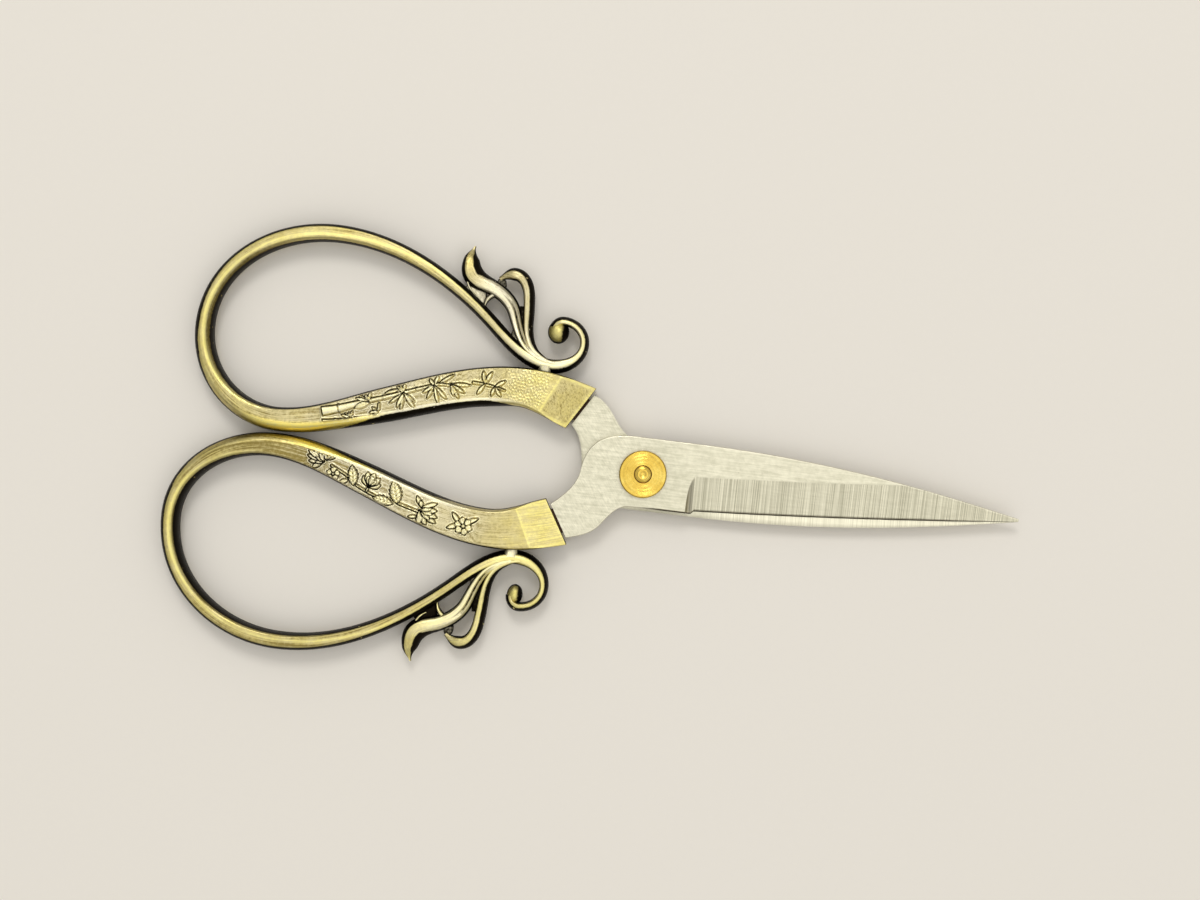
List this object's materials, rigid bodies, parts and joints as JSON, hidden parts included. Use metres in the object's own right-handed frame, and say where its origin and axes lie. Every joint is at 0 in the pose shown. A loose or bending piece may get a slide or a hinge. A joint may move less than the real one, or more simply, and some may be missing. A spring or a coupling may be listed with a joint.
{
  "type": "needlework scissors",
  "caption": "Ornamental needlework scissors: pointed crossing blades on a rivet, and cast handles with teardrop finger bows that end in a scroll, a leaf and a tendril.",
  "frame": {"origin": "on the pivot axis, at the flat back end of the rivet, in the plane that the closed pair lies on", "axes": "+X to the tips, +Y to the handle of the back blade, +Z out of the front, along the pivot"},
  "size_m": [0.1393, 0.0701, 0.006],
  "materials": {
    "blade_steel": "satin, brushed along the blade, bevel ground across",
    "cast_brass": "antique, brushed high spots and dark patina in the recesses",
    "turned_brass": "turned, bright"
  },
  "bodies": {
    "back_half": {"back_blade": "blade_steel", "upper_handle": "cast_brass", "pivot_rivet": "turned_brass", "front_washer": "turned_brass", "back_washer": "turned_brass"},
    "front_half": {"front_blade": "blade_steel", "lower_handle": "cast_brass"}
  },
  "joints": [
    {"name": "opening", "type": "hinge", "parent": "back_half", "child": "front_half", "pos_m": [0, 0, 0.003], "axis": [0, 0, 1], "range_deg": [0, 100]}
  ]
}
